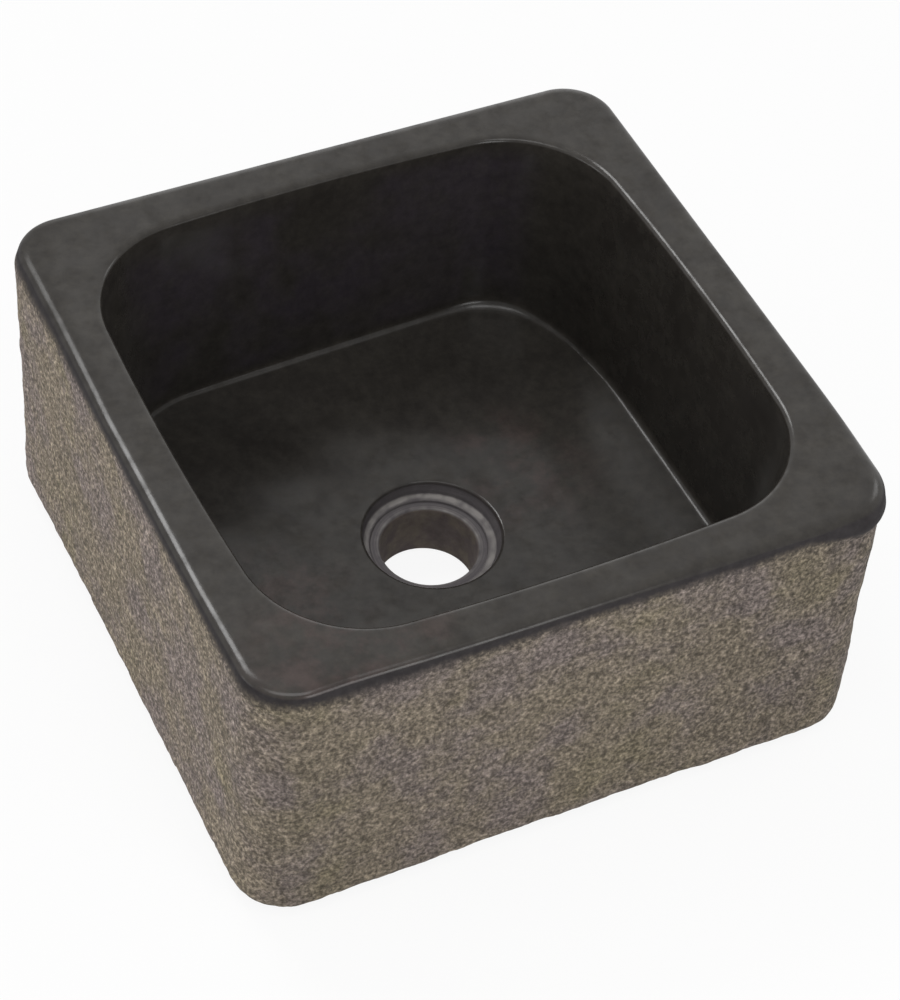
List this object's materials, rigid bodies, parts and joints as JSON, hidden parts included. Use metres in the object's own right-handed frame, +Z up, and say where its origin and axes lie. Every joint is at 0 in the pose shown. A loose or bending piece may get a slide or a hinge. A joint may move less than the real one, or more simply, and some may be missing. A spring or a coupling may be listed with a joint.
{
  "type": "stone vessel sink",
  "caption": "Square countertop basin carved from one dark stone, with rough sides, a honed rim and bowl, a stepped drain hole, and soft pads and a seal under its base.",
  "frame": {"origin": "centre of the base, on the counter that the pads stand on", "axes": "+Z up along the drain's axis, front face towards -Y, right face towards +X"},
  "size_m": [0.3, 0.3, 0.152],
  "materials": {
    "basin_stone": "honed dark rim, bowl and drain, and rough grey-brown tooled sides",
    "pad_rubber": "matt",
    "seal_rubber": "matt closed-cell foam"
  },
  "bodies": {
    "root": {"stone_basin": "basin_stone", "front_left_pad": "pad_rubber", "front_right_pad": "pad_rubber", "back_left_pad": "pad_rubber", "back_right_pad": "pad_rubber", "drain_seal": "seal_rubber"}
  },
  "joints": []
}
